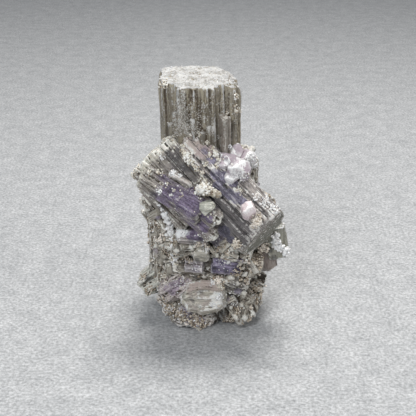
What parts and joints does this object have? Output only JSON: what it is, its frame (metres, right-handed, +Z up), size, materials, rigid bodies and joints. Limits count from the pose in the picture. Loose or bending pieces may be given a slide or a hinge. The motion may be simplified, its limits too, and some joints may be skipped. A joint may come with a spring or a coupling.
{
  "type": "aragonite cluster",
  "caption": "Cluster of ribbed pseudo-hexagonal aragonite columns, one upright and others slanting across it, with small druse-edged crystals, on a flat broken base.",
  "frame": {"origin": "middle of the flat broken underside", "axes": "+Z up along the upright column, -Y the front where the slanting columns cross, +X to its right"},
  "size_m": [0.049, 0.0512, 0.08],
  "materials": {
    "grown_aragonite": "ribbed, satin grey-brown, with violet zones and pale crests",
    "white_aragonite": "translucent white, satin to glassy",
    "cream_druse": "granular cream druse",
    "olive_aragonite": "striated olive grey, satin",
    "pink_aragonite": "translucent pinkish white, satin",
    "brown_aragonite": "rough brown grey",
    "violet_aragonite": "translucent violet grey, satin"
  },
  "bodies": {
    "root": {"grown_columns": "grown_aragonite", "upright_satellite": "grown_aragonite", "white_blocks": "white_aragonite", "cream_druse_knob": "cream_druse", "pale_green_crystal": "olive_aragonite", "pale_finger_crystal": "white_aragonite", "pink_crystal": "pink_aragonite", "right_side_crystal": "olive_aragonite", "right_hanging_crystal": "brown_aragonite", "waist_violet_prism": "violet_aragonite", "waist_olive_block": "olive_aragonite", "waist_violet_block": "violet_aragonite", "waist_lavender_block": "violet_aragonite", "waist_brown_block": "brown_aragonite", "barrel_crystal": "olive_aragonite", "foot_violet_crystal": "violet_aragonite", "left_foot_crystal": "olive_aragonite"}
  },
  "joints": []
}
